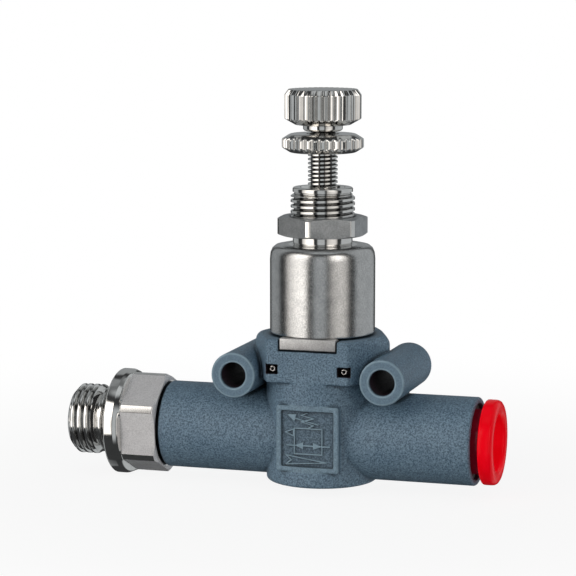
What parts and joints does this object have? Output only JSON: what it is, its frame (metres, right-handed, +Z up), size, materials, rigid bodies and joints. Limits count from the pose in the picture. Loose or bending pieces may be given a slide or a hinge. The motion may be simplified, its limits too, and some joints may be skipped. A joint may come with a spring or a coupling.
{
  "type": "in-line pressure regulator",
  "caption": "Miniature in-line air pressure regulator: moulded body, spring bonnet with knurled adjusting screw, swivelling male stud and push-in tube socket.",
  "frame": {"origin": "centre of the base, 8.5 mm below where the tube axis meets the bonnet axis", "axes": "+X along the tube axis towards the push-in socket, +Z up the bonnet axis to the knob, the label faces -Y"},
  "size_m": [0.0817, 0.0217, 0.0731],
  "materials": {
    "moulded_plastic": "fine spark-eroded grain, blue-grey",
    "satin_nickel": "satin nickel plating",
    "bright_nickel": "bright nickel plating",
    "spring_steel": "drawn steel",
    "brass": "machined brass",
    "red_plastic": "gloss red",
    "rubber": "matt black",
    "black_acetal": "black acetal",
    "acetal": "natural acetal"
  },
  "bodies": {
    "root": {"valve_body": "moulded_plastic", "bonnet": "satin_nickel", "bonnet_pin_left": "spring_steel", "bonnet_pin_right": "spring_steel", "regulating_spring": "spring_steel", "poppet_spring": "spring_steel", "seat_insert": "brass", "seat_seal": "rubber", "seat_retaining_ring": "spring_steel", "stud_retaining_ring": "spring_steel", "collar_bush": "black_acetal", "grip_ring": "spring_steel", "seal_washer": "acetal", "tube_seal": "rubber"},
    "spring_seat": {"spring_cap": "spring_steel", "thrust_ball": "spring_steel"},
    "adjuster": {"adjusting_screw": "bright_nickel", "knob": "bright_nickel"},
    "lock_nut": {"lock_nut": "bright_nickel"},
    "panel_nut": {"panel_nut": "satin_nickel"},
    "piston": {"piston": "acetal", "piston_seal": "rubber", "relief_seat": "rubber"},
    "poppet": {"poppet": "brass", "poppet_seal": "rubber"},
    "stud": {"male_stud": "bright_nickel", "stud_face_seal": "rubber", "stud_seal": "rubber"},
    "collar": {"release_collar": "red_plastic"}
  },
  "joints": [
    {"name": "screw_feed", "type": "slide", "parent": "root", "child": "spring_seat", "axis": [0, 0, 1], "range_m": [-0.0042, 0], "deforming": ["regulating_spring"]},
    {"name": "knob_turn", "type": "hinge", "parent": "spring_seat", "child": "adjuster", "pos_m": [0, 0, 0.0685], "axis": [0, 0, 1], "range_deg": [-2016.5, 0]},
    {"name": "lock_nut_travel", "type": "slide", "parent": "adjuster", "child": "lock_nut", "axis": [0, 0, 1], "range_m": [-0.0019, 0]},
    {"name": "panel_nut_travel", "type": "slide", "parent": "root", "child": "panel_nut", "axis": [0, 0, 1], "range_m": [-0.0016, 0.0049]},
    {"name": "piston_stroke", "type": "slide", "parent": "root", "child": "piston", "axis": [0, 0, 1], "range_m": [-0.0008, 0]},
    {"name": "poppet_stroke", "type": "slide", "parent": "root", "child": "poppet", "axis": [0, 0, 1], "range_m": [-0.0008, 0], "deforming": ["poppet_spring"]},
    {"name": "stud_swivel", "type": "hinge", "parent": "root", "child": "stud", "pos_m": [-0.026, 0, 0.0085], "axis": [1, 0, 0], "continuous": true},
    {"name": "collar_push", "type": "slide", "parent": "root", "child": "collar", "axis": [1, 0, 0], "range_m": [-0.0012, 0]}
  ],
  "couplings": [
    {"joint": "knob_turn", "follows": "screw_feed", "rad_per_m": 8377.6},
    {"joint": "poppet_stroke", "follows": "piston_stroke", "ratio": 1}
  ]
}
